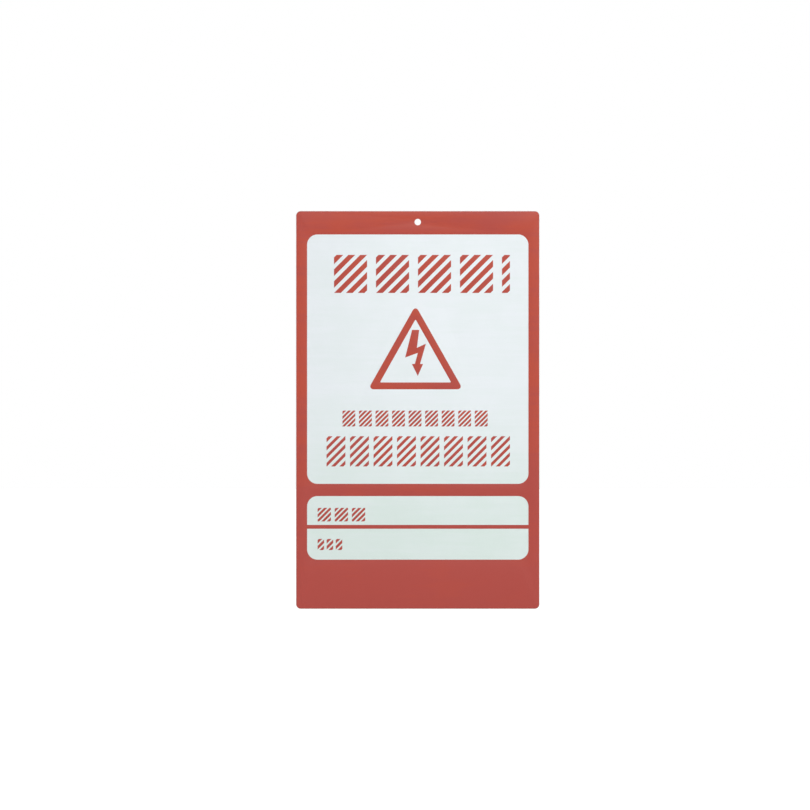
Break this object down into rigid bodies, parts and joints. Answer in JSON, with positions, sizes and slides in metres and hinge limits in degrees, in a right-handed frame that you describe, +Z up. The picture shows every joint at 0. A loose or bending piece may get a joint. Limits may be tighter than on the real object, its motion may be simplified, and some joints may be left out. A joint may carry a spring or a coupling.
{
  "type": "electric fence warning sign",
  "caption": "Thin upright plastic plate with rounded corners, a small hanging hole at its top edge, and a warning triangle with a flash printed in red on a pale window.",
  "frame": {"origin": "centre of the hanging hole, in the plane of the plate's back face", "axes": "+Z up along the plate's height, -Y out of its printed front, +X to the right of someone who reads it"},
  "size_m": [0.153, 0.001, 0.25],
  "materials": {
    "pale_plastic": "smooth satin sheet, faintly bluish white, screen printed in one red ink on its front",
    "red_ink": "opaque brick red screen ink with a soft satin face, printed on the front of the sheet"
  },
  "bodies": {
    "root": {"sign_plate": "pale_plastic"}
  },
  "joints": []
}
